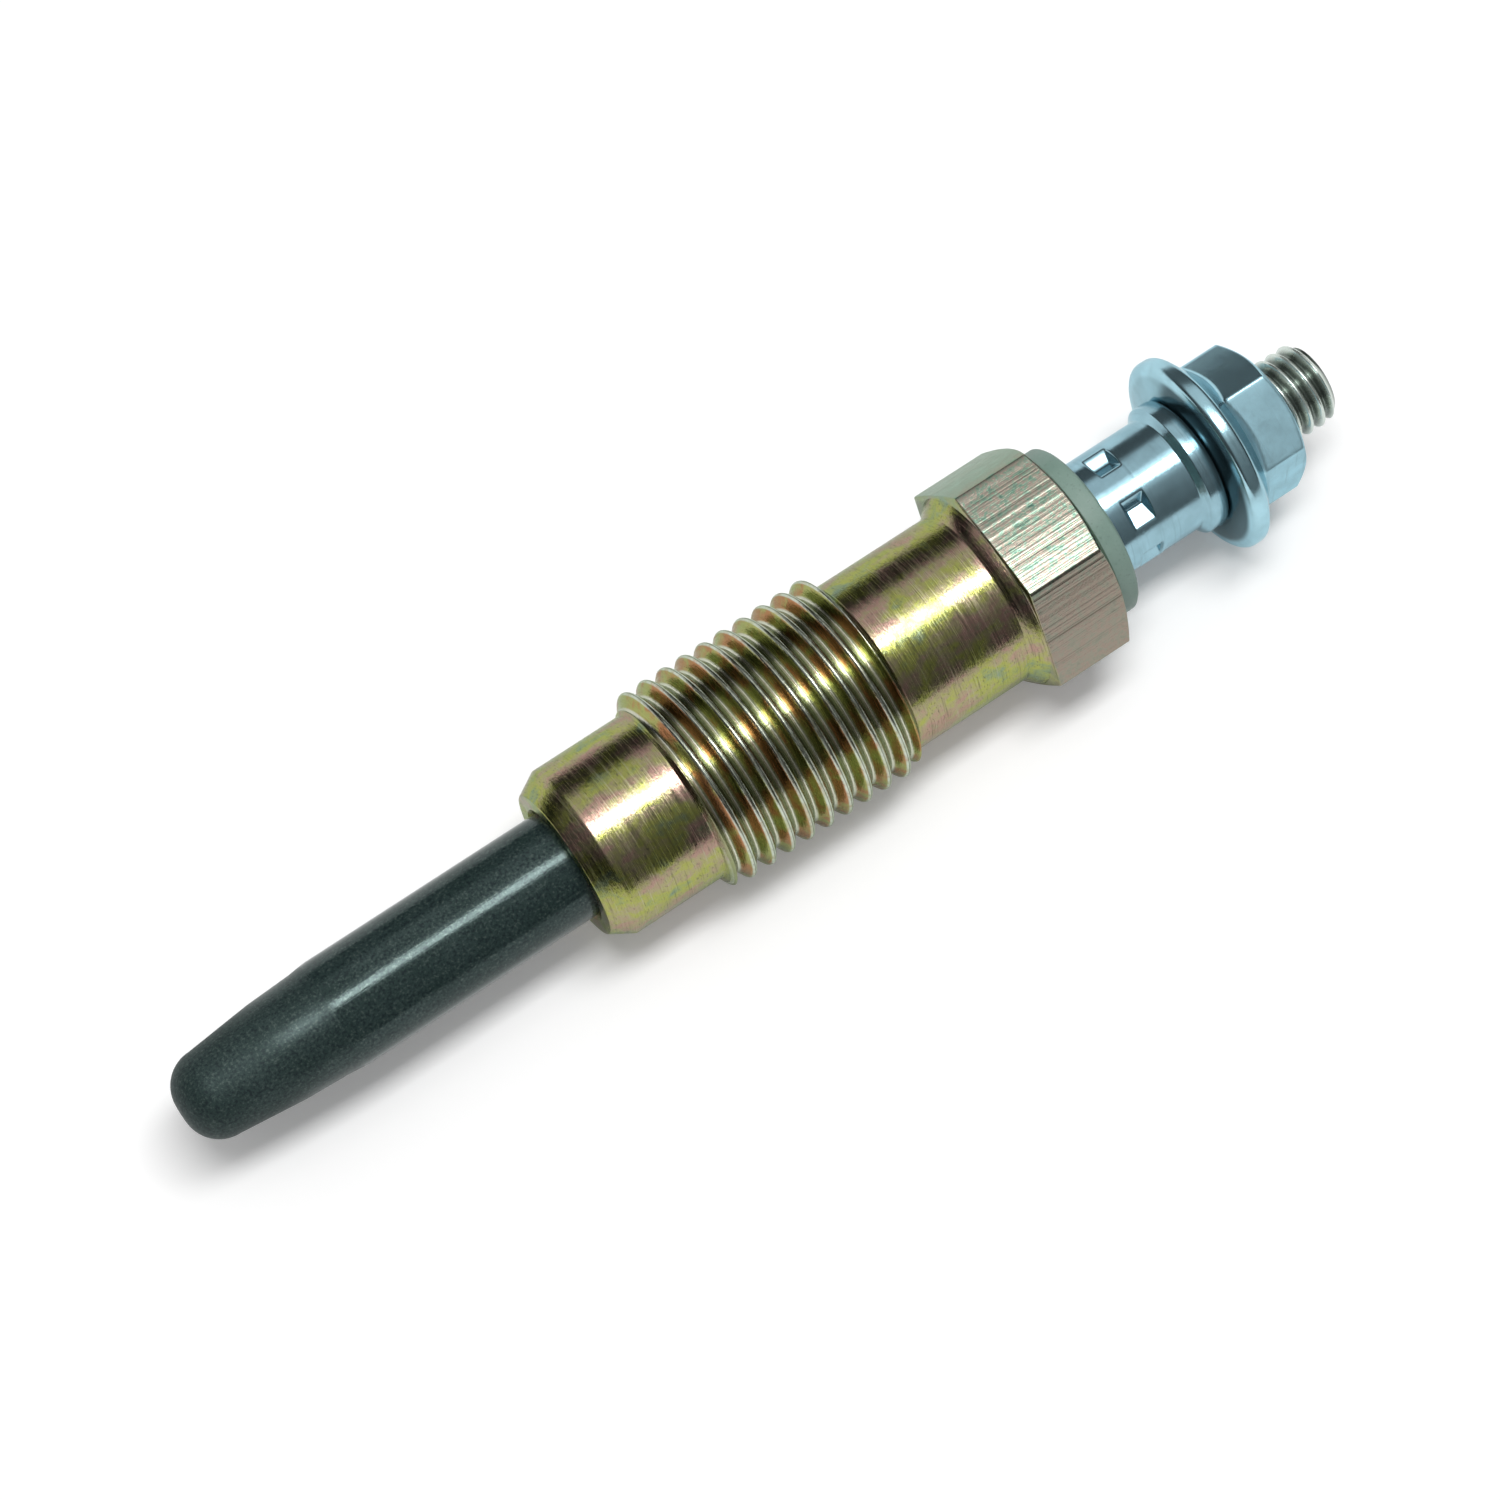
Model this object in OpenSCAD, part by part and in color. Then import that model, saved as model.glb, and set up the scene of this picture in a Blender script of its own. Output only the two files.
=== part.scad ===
// Diesel glow plug with a sheathed heating element, lying on a flat of its hexagon.
// The plug's axis is X: the hot tip points to -X and the terminal stud to +X.
// The origin is on the axis, at the middle of the shell's thread.

/* [Glow tube] */
// Outside diameter of the tube
tube_d = 6.3; // [5.6:0.05:7]
// Length of tube that stands out of the shell, with the tip
tube_reach = 23.9; // [18:0.1:30]
// Length of tube pressed into the shell
tube_seat = 15; // [11:0.1:18]
// Wall of the tube
tube_wall = 0.75; // [0.5:0.05:0.9]
// Thickness of metal at the closed tip
tip_wall = 1.2; // [0.8:0.05:1.6]
// Radius of the rounded edge of the tip
tip_round = 2.05; // [1.4:0.05:2.2]
// Length of the cone behind the domed tip
taper_len = 3.85; // [2:0.05:5]
// Diameter that the cone loses towards the tip
taper_drop = 0.8; // [0.4:0.05:1]
// Length of the nearly straight land behind the cone
land_len = 2.6; // [1:0.05:4]
// Diameter that the land loses towards the tip
land_drop = 0.25; // [0.05:0.05:0.4]
// Length of the swaged step from the land to the full diameter
step_len = 1.1; // [0.6:0.05:2]
// Diameter that the swaged step loses towards the tip
step_drop = 0.25; // [0.05:0.05:0.4]

/* [Shell] */
// Major diameter of the shell's thread
thread_d = 12; // [11.6:0.1:14]
// Length of the thread
thread_len = 12.7; // [8:0.1:18]
// Pitch of the thread
thread_pitch = 1.25; // [1:0.05:1.75]
// Length of the conical run-out at each end of the thread
thread_runout = 0.7; // [0.4:0.05:1.2]
// Diameter of the plain nose in front of the thread
nose_d = 10.2; // [9.6:0.1:10.8]
// Length of the nose, from its face to the thread
nose_len = 6.75; // [4:0.05:10]
// Diameter of the flat face of the nose
nose_face_d = 8.7; // [8:0.1:9.4]
// Length of the nose's sealing cone
nose_cone_len = 1.3; // [0.6:0.05:2]
// Chamfer where the tube leaves the nose
nose_lip = 0.3; // [0.1:0.05:0.5]
// Diameter of the shank between the thread and the hexagon
shank_d = 10.3; // [9.8:0.1:11]
// Length of the shank
shank_len = 7.3; // [3:0.1:12]
// Length of the cone between the shank and the hexagon
flare_len = 0.8; // [0.4:0.05:1.4]
// Flat left between that cone and each flat of the hexagon
flare_ledge = 0.1; // [0.05:0.05:0.3]
// Width of the hexagon across its flats
hex_af = 12; // [11.6:0.1:15]
// Length of the hexagon
hex_len = 5.15; // [4.7:0.05:8]
// Diameter of the hexagon's rear face inside its chamfer
hex_face_d = 11.2; // [10.8:0.1:11.6]
// Angle of the chamfer turned on the hexagon's corners
hex_chamfer_angle = 25; // [15:1:35]
// Width of the ledge in the shell's bore that the tube's end seats on
tube_ledge = 0.35; // [0.2:0.05:0.5]
// Diameter of the counterbore in the rear of the shell
counterbore_d = 7.6; // [7:0.1:8.2]
// Length of the rubber ring in the counterbore
shell_seal_len = 2; // [1.4:0.1:2.4]
// Radius of the rubber ring's edges
shell_seal_round = 0.5; // [0.2:0.05:0.6]

/* [Heater] */
// Diameter of the resistance wire
wire_d = 0.4; // [0.3:0.02:0.5]
// Thickness of powder between the coils and the narrowest part of the tube
coil_cover = 0.35; // [0.2:0.05:0.5]
// Turns of the heating coil
heat_turns = 10; // [6:1:14]
// Length of the heating coil
heat_len = 8.5; // [6:0.1:10]
// Turns of the control coil
control_turns = 14; // [8:1:16]
// Straight length of wire at each end of the coils
wire_leg = 0.7; // [0.4:0.05:1.2]
// Length of the rubber bush in the tube's open end
tube_seal_len = 3; // [2:0.1:4]

/* [Terminal] */
// Diameter of the centre rod inside the shell
rod_d = 4; // [3.6:0.1:4.4]
// Length of the rod's front end inside the tube
rod_tip_len = 9; // [6:0.1:12]
// Major diameter of the terminal stud
stud_d = 4.9; // [4.6:0.05:5]
// Pitch of the stud's thread
stud_pitch = 0.8; // [0.5:0.05:1]
// Length of stud that stands out of the nut
stud_out = 3.4; // [2:0.1:8]
// Chamfer at the end of the stud
stud_chamfer = 0.45; // [0.2:0.05:0.8]
// Diameter of the insulating washer
washer_d = 10.25; // [9.4:0.05:10.8]
// Thickness of the washer outside the shell
washer_t = 1.35; // [1:0.05:2.5]
// Bevel on the washer's outer edge
washer_bevel = 0.15; // [0.05:0.05:0.4]
// Length of the washer's spigot inside the shell
spigot_len = 2; // [1:0.1:2.4]
// Diameter of the terminal sleeve
sleeve_d = 6.9; // [6.5:0.05:7.4]
// Length of the terminal sleeve, with its collar
sleeve_len = 7.05; // [6:0.05:12]
// Diameter of the sleeve's collar
collar_d = 7.9; // [7.5:0.05:8.6]
// Length of the collar behind its front cone
collar_len = 1.1; // [0.9:0.05:2]
// Length of the cone in front of the collar
collar_cone_len = 0.35; // [0.2:0.05:0.6]
// Radius of the collar's rear edge
collar_round = 0.35; // [0.2:0.05:0.5]
// Distance from the washer to the middle of the crimp
crimp_pos = 2.15; // [2:0.05:4]
// Dents in the ring of the crimp
crimp_count = 6; // [4:1:8]
// Depth of each dent at the crease along its middle
crimp_depth = 0.6; // [0.3:0.05:0.7]
// Length of that crease
crimp_len = 1; // [0.6:0.05:1.4]
// Angle at which the wide side of a dent slopes to its crease
crimp_slope = 20; // [10:1:25]
// Angle at which the narrow side of a dent slopes to its crease
crimp_steep = 38; // [26:1:45]
// Angle of the walls at both ends of a dent
crimp_wall_angle = 55; // [45:1:80]
// Angle by which the crimp is turned round the axis
crimp_turn = 28; // [0:1:60]
// Width of the nut across its flats
nut_af = 8; // [7.5:0.1:10]
// Height of the nut, with its flange
nut_h = 5.25; // [4.5:0.05:8]
// Diameter of the nut's flange
flange_d = 11.8; // [10.5:0.1:11.9]
// Thickness of the flange at its rounded rim
flange_rim = 0.85; // [0.5:0.05:1.2]
// Diameter of the nut's flat bearing face
bearing_d = 8.2; // [7.6:0.1:9]
// Length of the cone from the bearing face to the rim
bearing_cone_len = 0.6; // [0.3:0.05:0.9]
// Angle of the flange's sloping back
flange_angle = 20; // [10:1:30]
// Diameter of the nut's outer face inside its chamfer
nut_face_d = 7.5; // [7:0.1:8]
// Angle of the chamfer on the nut's outer end
nut_chamfer_angle = 30; // [15:1:40]
// Countersink at both ends of the nut's hole
nut_countersink = 0.35; // [0.1:0.05:0.5]

/* [Fit] */
// Radial clearance between pieces that fit inside one another
fit_gap = 0.02; // [0.01:0.01:0.05]

/* [Hidden] */
$fn = 96;

// Length by which a cut runs past the surface that it starts from
over = 0.2;
// Metric thread: depth and flat of the root in pitches, and angle of each flank
thread_depth = 0.6134;
root_flat = 0.125;
flank_angle = 30;
// Sides of the wire's section, and rings along one turn of it
wire_sides = 8;
turn_rings = 14;
bend_rings = 4;

// Stations along the axis, from the tip to the stud's end
nose_x = -thread_len / 2 - nose_len;
tip_x = nose_x - tube_reach;
thread_x = -thread_len / 2;
shank_x = thread_len / 2;
flare_x = shank_x + shank_len;
hex_x = flare_x + flare_len;
rear_x = hex_x + hex_len;
sleeve_x = rear_x + washer_t;
nut_x = sleeve_x + sleeve_len;
nut_top_x = nut_x + nut_h;
stud_end_x = nut_top_x + stud_out;

// Stations inside the shell and the tube
tube_end_x = nose_x + tube_seat;
tube_seal_x = tube_end_x - tube_seal_len;
rod_tip_x = tube_end_x - rod_tip_len;
spigot_x = rear_x - spigot_len;
shell_seal_x = spigot_x - shell_seal_len;
cavity_x = tip_x + tip_wall;
crimp_x = sleeve_x + crimp_pos;
collar_x = nut_x - collar_len;

// Stations where the tube's outside changes slope
taper_x = tip_x + tip_round;
land_x = taper_x + taper_len;
step_x = land_x + land_len;
full_x = step_x + step_len;

hex_corner_d = hex_af / cos(30);
nut_corner_d = nut_af / cos(30);
flare_d = hex_af - 2 * flare_ledge;
land_d = tube_d - step_drop;
taper_d = land_d - land_drop;
tip_d = taper_d - taper_drop;
tube_bore_d = tube_d + 2 * fit_gap;
rod_bore_d = tube_d - 2 * tube_ledge;
cavity_d = tube_d - 2 * tube_wall;
coil_d = tip_d - 2 * tube_wall - 2 * coil_cover - wire_d;
rod_tip_d = coil_d + 2 * wire_d;
stud_hole_d = stud_d + 2 * fit_gap;
bend_r = wire_d;

// Turns a profile round the plug's axis. Its points are [radius, station].
module turned(points) {
    rotate([0, 90, 0]) rotate_extrude() polygon(points);
}

// Straight hole along the axis between two stations
module hole(d, from, to) {
    translate([from, 0, 0]) rotate([0, 90, 0]) cylinder(d = d, h = to - from);
}

// Six-sided bar along the axis. A turn of 30 lays it on a flat, and 0 stands it on a corner.
module hex_bar(corner_d, from, to, turn) {
    translate([from, 0, 0]) rotate([0, 90, 0]) rotate([0, 0, turn])
        cylinder(d = corner_d, h = to - from, $fn = 6);
}

// Disc from one station to another, with a cone on its far edge that leaves a face of face_d
module coned_disc(d, face_d, angle, from, to) {
    cone_len = (d - face_d) / 2 * tan(angle);
    turned([[0, from], [d / 2, from], [d / 2, to - cone_len], [face_d / 2, to], [0, to]]);
}

// Grooves of a thread's section between two stations, as rings instead of a helix
module thread_grooves(d, pitch, from, to) {
    root_r = d / 2 - thread_depth * pitch;
    half_root = root_flat * pitch / 2;
    half_top = half_root + (d / 2 + over - root_r) * tan(flank_angle);
    count = floor((to - from) / pitch);
    first = (from + to - (count - 1) * pitch) / 2;
    for (k = [0 : count - 1])
        translate([first + k * pitch, 0, 0]) turned([
            [root_r, -half_root],
            [d / 2 + over, -half_top],
            [d / 2 + over, half_top],
            [root_r, half_root]
        ]);
}

// Ring of rectangular section with rounded edges, from one station to another
module rounded_ring(inner_d, outer_d, from, to, round_r) {
    inner = inner_d / 2;
    outer = outer_d / 2;
    rotate([0, 90, 0]) rotate_extrude() {
        translate([inner + round_r, from]) square([outer - inner - 2 * round_r, to - from]);
        translate([inner, from + round_r]) square([outer - inner, to - from - 2 * round_r]);
        for (r = [inner + round_r, outer - round_r], x = [from + round_r, to - round_r])
            translate([r, x]) circle(round_r);
    }
}

// Solid of the tube's form, moved in from its surface by inset, from one station to the tube's end.
// The tip is rounded only where the solid reaches it.
function tube_side(inset, from) = [
    [0, from],
    [tip_d / 2 - inset, from],
    [tip_d / 2 - inset, max(taper_x, from)],
    [taper_d / 2 - inset, land_x],
    [land_d / 2 - inset, step_x],
    [tube_d / 2 - inset, full_x],
    [tube_d / 2 - inset, tube_end_x],
    [0, tube_end_x]
];

module tube_form() {
    tip_flat = tip_d / 2 - tip_round;
    turned(tube_side(0, taper_x));
    rotate([0, 90, 0]) rotate_extrude() {
        translate([0, tip_x]) square([tip_flat, tip_round]);
        intersection() {
            translate([tip_flat, taper_x]) circle(tip_round);
            translate([tip_flat, tip_x]) square(tip_round);
        }
    }
}

// The wire's path on the coils' cylinder: [angle, station] for each ring, from the tip to the rod
bend_turn = bend_r / (PI * coil_d) * 360;
heat_x = cavity_x + wire_leg + bend_r;
control_x = heat_x + heat_len;
control_end_x = rod_tip_x - wire_leg - bend_r;
function helix_path(turns, angle, from, to) = [
    for (i = [1 : turns * turn_rings])
        [angle + 360 * i / turn_rings, from + (to - from) * i / (turns * turn_rings)]
];
lead_in = [
    for (i = [0 : bend_rings])
        let (a = 90 * i / bend_rings)
        [bend_turn * (1 - cos(a)), heat_x - bend_r + bend_r * sin(a)]
];
control_angle = bend_turn + 360 * heat_turns;
control_end_angle = control_angle + 360 * control_turns;
lead_out = [
    for (i = [1 : bend_rings])
        let (a = 90 * i / bend_rings)
        [control_end_angle + bend_turn * sin(a), control_end_x + bend_r * (1 - cos(a))]
];
function wire_path(extra) = concat(
    [[0, cavity_x - extra]],
    lead_in,
    helix_path(heat_turns, bend_turn, heat_x, control_x),
    helix_path(control_turns, control_angle, control_x, control_end_x),
    lead_out,
    [[control_end_angle + bend_turn, rod_tip_x + extra]]
);
last_heat_ring = 1 + bend_rings + heat_turns * turn_rings;

// Point in space of a place on the path, and the wire's direction there
function on_coil(p) = [p[1], coil_d / 2 * cos(p[0]), coil_d / 2 * sin(p[0])];
function unit(v) = v / norm(v);
function wire_ring(path, i, r) = let (
    before = on_coil(path[max(i - 1, 0)]),
    after = on_coil(path[min(i + 1, len(path) - 1)]),
    outward = [0, cos(path[i][0]), sin(path[i][0])],
    along = unit(after - before),
    across = unit(cross(along, outward)),
    up = cross(across, along)
) [
    for (k = [0 : wire_sides - 1])
        let (a = 360 * k / wire_sides)
        on_coil(path[i]) + r * (cos(a) * up + sin(a) * across)
];

// Stretch of the wire between two rings of its path
module wire(path, first, last, r) {
    n = wire_sides;
    rings = last - first;
    points = [for (i = [first : last]) each wire_ring(path, i, r)];
    sides = [
        for (i = [0 : rings - 1], k = [0 : n - 1])
            let (a = i * n + k, b = i * n + (k + 1) % n)
            each [[a, b + n, b], [a, a + n, b + n]]
    ];
    front = [for (k = [0 : n - 1]) k];
    back = [for (k = [n - 1 : -1 : 0]) rings * n + k];
    polyhedron(points, concat(sides, [front, back]));
}

module plug_shell() {
    color("#a8935a") difference() {
        union() {
            turned([
                [0, nose_x],
                [nose_face_d / 2, nose_x],
                [nose_d / 2, nose_x + nose_cone_len],
                [nose_d / 2, thread_x],
                [thread_d / 2, thread_x + thread_runout],
                [thread_d / 2, shank_x - thread_runout],
                [shank_d / 2, shank_x],
                [shank_d / 2, flare_x],
                [flare_d / 2, hex_x],
                [0, hex_x]
            ]);
            intersection() {
                hex_bar(hex_corner_d, hex_x, rear_x, 30);
                coned_disc(hex_corner_d, hex_face_d, hex_chamfer_angle, hex_x, rear_x);
            }
        }
        thread_grooves(thread_d, thread_pitch, thread_x + thread_runout, shank_x - thread_runout);
        hole(tube_bore_d, nose_x - over, tube_end_x);
        turned([
            [0, nose_x - over],
            [tube_bore_d / 2 + nose_lip + over, nose_x - over],
            [tube_bore_d / 2, nose_x + nose_lip],
            [0, nose_x + nose_lip]
        ]);
        hole(rod_bore_d, tube_end_x - over, rear_x + over);
        hole(counterbore_d, shell_seal_x, rear_x + over);
    }
}

module glow_tube() {
    color("#343c40") difference() {
        tube_form();
        turned(tube_side(tube_wall, cavity_x));
        hole(cavity_d, tube_end_x - over, tube_end_x + over);
    }
}

module heating_coil() {
    color("#b9aa98") wire(wire_path(0), 0, last_heat_ring, wire_d / 2);
}

module control_coil() {
    path = wire_path(0);
    color("#a9b0b4") wire(path, last_heat_ring, len(path) - 1, wire_d / 2);
}

module filling_powder() {
    path = wire_path(over);
    color("#e6e2d8") difference() {
        turned(tube_side(tube_wall + fit_gap, cavity_x));
        hole(tube_d, tube_seal_x, tube_end_x + over);
        hole(rod_tip_d + 2 * fit_gap, rod_tip_x, tube_end_x + over);
        wire(path, 0, len(path) - 1, wire_d / 2 + fit_gap);
    }
}

module tube_seal() {
    color("#33302e") difference() {
        hole(cavity_d - 2 * fit_gap, tube_seal_x, tube_end_x);
        hole(rod_tip_d + 2 * fit_gap, tube_seal_x - over, tube_end_x + over);
    }
}

module terminal_pin() {
    color("#a39d84") difference() {
        turned([
            [0, rod_tip_x],
            [rod_tip_d / 2, rod_tip_x],
            [rod_tip_d / 2, tube_end_x],
            [rod_d / 2, tube_end_x],
            [rod_d / 2, spigot_x],
            [stud_d / 2, spigot_x],
            [stud_d / 2, stud_end_x - stud_chamfer],
            [stud_d / 2 - stud_chamfer, stud_end_x],
            [0, stud_end_x]
        ]);
        thread_grooves(stud_d, stud_pitch, nut_top_x, stud_end_x);
    }
}

module shell_seal() {
    color("#2a2a2b") rounded_ring(
        rod_d + 2 * fit_gap, counterbore_d - 2 * fit_gap,
        shell_seal_x, spigot_x, shell_seal_round
    );
}

module insulating_washer() {
    color("#7d968c") difference() {
        turned([
            [0, spigot_x],
            [counterbore_d / 2 - fit_gap, spigot_x],
            [counterbore_d / 2 - fit_gap, rear_x],
            [washer_d / 2, rear_x],
            [washer_d / 2, sleeve_x - washer_bevel],
            [washer_d / 2 - washer_bevel, sleeve_x],
            [0, sleeve_x]
        ]);
        hole(stud_hole_d, spigot_x - over, sleeve_x + over);
    }
}

// Dents pressed into the sleeve from all sides. A wide and a narrow side of a dent slope to a crease
// along the axis, and sloping walls close its ends.
module crimp_dents() {
    crease_r = sleeve_d / 2 - crimp_depth;
    half_w = sleeve_d / 2 * sin(180 / crimp_count);
    wide_r = crease_r + half_w * tan(crimp_slope);
    narrow_r = crease_r + half_w * tan(crimp_steep);
    top_r = max(narrow_r, sleeve_d / 2) + over;
    half_len = crimp_len / 2 + (top_r - crease_r) / tan(crimp_wall_angle);
    for (k = [0 : crimp_count - 1])
        translate([crimp_x, 0, 0]) rotate([0, 90, 0])
            rotate([0, 0, crimp_turn + 360 * k / crimp_count]) intersection() {
                translate([0, 0, -half_len]) linear_extrude(2 * half_len) polygon([
                    [crease_r, 0],
                    [wide_r, half_w],
                    [top_r, half_w],
                    [top_r, -half_w],
                    [narrow_r, -half_w]
                ]);
                rotate([90, 0, 0]) translate([0, 0, -half_w]) linear_extrude(2 * half_w) polygon([
                    [crease_r, -crimp_len / 2],
                    [crease_r, crimp_len / 2],
                    [top_r, half_len],
                    [top_r, -half_len]
                ]);
            }
}

module terminal_sleeve() {
    cone_x = collar_x - collar_cone_len;
    color("#9fb6bb") difference() {
        union() {
            turned([
                [0, sleeve_x],
                [sleeve_d / 2, sleeve_x],
                [sleeve_d / 2, cone_x],
                [collar_d / 2, collar_x],
                [collar_d / 2, nut_x - collar_round],
                [0, nut_x - collar_round]
            ]);
            rounded_ring(stud_d, collar_d, collar_x, nut_x, collar_round);
        }
        hole(stud_hole_d, sleeve_x - over, nut_x + over);
        crimp_dents();
    }
}

// Conical mouth of the nut's hole at one of its faces, where inward is 1 or -1
module countersink(face_x, inward) {
    hole_r = stud_hole_d / 2;
    turned([
        [0, face_x - inward * over],
        [hole_r + nut_countersink + over, face_x - inward * over],
        [hole_r, face_x + inward * nut_countersink],
        [0, face_x + inward * nut_countersink]
    ]);
}

module flange_nut() {
    rim_x = nut_x + bearing_cone_len;
    rim_end_x = rim_x + flange_rim;
    rim_d = flange_d - flange_rim;
    back_len = (rim_d - nut_af) / 2 * tan(flange_angle);
    color("#a7bcc0") difference() {
        union() {
            turned([
                [0, nut_x],
                [bearing_d / 2, nut_x],
                [rim_d / 2, rim_x],
                [rim_d / 2, rim_end_x],
                [nut_af / 2, rim_end_x + back_len],
                [0, rim_end_x + back_len]
            ]);
            rotate([0, 90, 0]) rotate_extrude()
                translate([rim_d / 2, rim_x + flange_rim / 2]) circle(flange_rim / 2);
            intersection() {
                hex_bar(nut_corner_d, rim_x, nut_top_x, 0);
                coned_disc(nut_corner_d, nut_face_d, nut_chamfer_angle, nut_x, nut_top_x);
            }
        }
        hole(stud_hole_d, nut_x - over, nut_top_x + over);
        countersink(nut_x, 1);
        countersink(nut_top_x, -1);
    }
}

plug_shell();
glow_tube();
heating_coil();
control_coil();
filling_powder();
tube_seal();
terminal_pin();
shell_seal();
insulating_washer();
terminal_sleeve();
flange_nut();
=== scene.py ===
# Diesel glow plug: detailed meshes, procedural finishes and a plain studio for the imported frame.
# Sizes below are in millimetres. The plug's axis is X, with the hot tip at -X and the stud at +X.
import math

import bpy
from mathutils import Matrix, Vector

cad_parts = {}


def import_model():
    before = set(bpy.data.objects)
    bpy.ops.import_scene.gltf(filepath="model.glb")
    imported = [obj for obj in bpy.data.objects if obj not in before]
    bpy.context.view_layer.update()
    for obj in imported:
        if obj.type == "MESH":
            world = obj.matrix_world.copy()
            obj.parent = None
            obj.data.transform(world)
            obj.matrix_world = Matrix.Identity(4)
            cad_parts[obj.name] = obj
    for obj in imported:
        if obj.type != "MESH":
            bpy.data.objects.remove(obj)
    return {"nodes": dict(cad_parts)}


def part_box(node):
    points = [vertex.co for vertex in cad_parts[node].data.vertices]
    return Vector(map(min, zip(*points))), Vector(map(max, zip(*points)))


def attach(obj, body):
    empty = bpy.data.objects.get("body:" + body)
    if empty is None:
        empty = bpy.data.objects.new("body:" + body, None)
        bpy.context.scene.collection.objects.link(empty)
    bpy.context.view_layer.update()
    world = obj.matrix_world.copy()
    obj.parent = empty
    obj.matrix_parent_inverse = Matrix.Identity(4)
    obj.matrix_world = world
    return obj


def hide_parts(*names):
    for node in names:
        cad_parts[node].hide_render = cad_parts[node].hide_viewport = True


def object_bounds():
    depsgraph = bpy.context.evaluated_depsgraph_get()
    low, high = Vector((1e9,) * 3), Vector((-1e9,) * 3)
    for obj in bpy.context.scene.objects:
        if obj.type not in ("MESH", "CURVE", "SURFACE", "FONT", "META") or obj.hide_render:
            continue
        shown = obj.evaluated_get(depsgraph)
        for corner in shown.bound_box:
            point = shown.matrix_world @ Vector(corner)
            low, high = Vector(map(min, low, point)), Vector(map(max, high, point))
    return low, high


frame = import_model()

for name in ("Cube", "Light", "Camera"):
    if name in bpy.data.objects:
        bpy.data.objects.remove(bpy.data.objects[name])
cad_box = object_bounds()

MM = 0.001


def span(node):
    """Lowest and highest corners of a CAD node in millimetres."""
    low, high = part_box(node)
    return low / MM, high / MM


# Stations, radii and the hexagon's width that the frame gives
shell_low, shell_high = span("plug_shell")
tube_low, tube_high = span("glow_tube")
washer_low, washer_high = span("insulating_washer")
sleeve_low, sleeve_high = span("terminal_sleeve")
pin_low, pin_high = span("terminal_pin")
nut_high = span("flange_nut")[1]
seal_low = span("shell_seal")[0]
NOSE_X, REAR_X = shell_low.x, shell_high.x
TIP_X, TUBE_END_X = tube_low.x, tube_high.x
SLEEVE_X, NUT_X = sleeve_low.x, sleeve_high.x
TOP_X, STUD_END_X = nut_high.x, pin_high.x
ROD_TIP_X, SPIGOT_X, SEAL_X = pin_low.x, washer_low.x, seal_low.x
HEX_AF = 2 * shell_high.z
TUBE_R, STUD_R = tube_high.z, pin_high.z
WASHER_R, COLLAR_R, FLANGE_R = washer_high.z, sleeve_high.z, nut_high.y

# Thread section, in pitches. The flanks' angle is from the axis, in degrees.
THREAD_DEPTH = 0.6
CREST_HALF = 0.085
CREST_SOFT = 0.14
ROOT_SOFT = 0.24
FLANK_ANGLE = 60

# Shell
THREAD_R = 6.0
THREAD_LEN = 12.7
THREAD_PITCH = 1.25
THREAD_RUNOUT = 0.5
THREAD_PHASE = 0.66
NOSE_R = 5.1
NOSE_FACE_R = 4.35
NOSE_CONE_LEN = 1.3
NOSE_CONE_ROUND = 0.25
NOSE_LIP = 0.3
NOSE_LIP_ROUND = 0.03
SHANK_R = 5.15
FLARE_LEN = 0.8
FLARE_R = 5.9
FLARE_ROUND = 0.2
HEX_LEN = 5.15
HEX_FACE_R = 5.6
HEX_CHAMFER_ANGLE = 25
HEX_CHAMFER_SOFT = 0.08
HEX_CORNER_ROUND = 0.16
HEX_EDGE = 0.07
HEX_CROWN = 0.14
TUBE_BORE_R = 3.17
ROD_BORE_R = 2.8
COUNTERBORE_R = 3.8
THREAD_X = THREAD_LEN / 2
HEX_X = REAR_X - HEX_LEN
FLARE_X = HEX_X - FLARE_LEN

# Glow tube
TIP_R = 2.5
TIP_ROUND = 2.05
TIP_WALL = 1.2
TAPER_R = 2.9
TAPER_LEN = 3.85
TAPER_ROUND = 2.0
LAND_R = 3.025
LAND_LEN = 2.6
STEP_LEN = 1.1
STEP_ROUND = 0.8
TUBE_WALL = 0.75
CAVITY_ROUND = 0.3
TAPER_X = TIP_X + TIP_ROUND
LAND_X = TAPER_X + TAPER_LEN
STEP_X = LAND_X + LAND_LEN
FULL_X = STEP_X + STEP_LEN

# Centre rod and washer. The stud's thread starts inside the nut.
STUD_PITCH = 0.8
STUD_CHAMFER = 0.45
STUD_RUNOUT = 0.5
STUD_THREAD_X = TOP_X - 1.0
STUD_HOLE_R = 2.47
ROD_R = 2.0
ROD_TIP_R = 1.6
SPIGOT_CLEARANCE = 0.02
WASHER_BEVEL = 0.15

# Sleeve. The dents have a gentle and a steep side, and their first one is turned from +Z towards -Y.
SLEEVE_R = 3.45
COLLAR_LEN = 1.1
COLLAR_CONE_LEN = 0.35
COLLAR_NECK_ROUND = 0.12
COLLAR_ROUND = 0.35
CRIMP_POS = 2.15
CRIMP_COUNT = 6
CRIMP_DEPTH = 0.6
CRIMP_LEN = 1.0
CRIMP_TURN = 28
CRIMP_SLOPE = 20
CRIMP_STEEP = 39.5
CRIMP_WALL_ANGLE = 66
CRIMP_MARGIN = 0.2
CRIMP_CREASE_SOFT = 0.06
CRIMP_RIM_SOFT = 0.05

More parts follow.
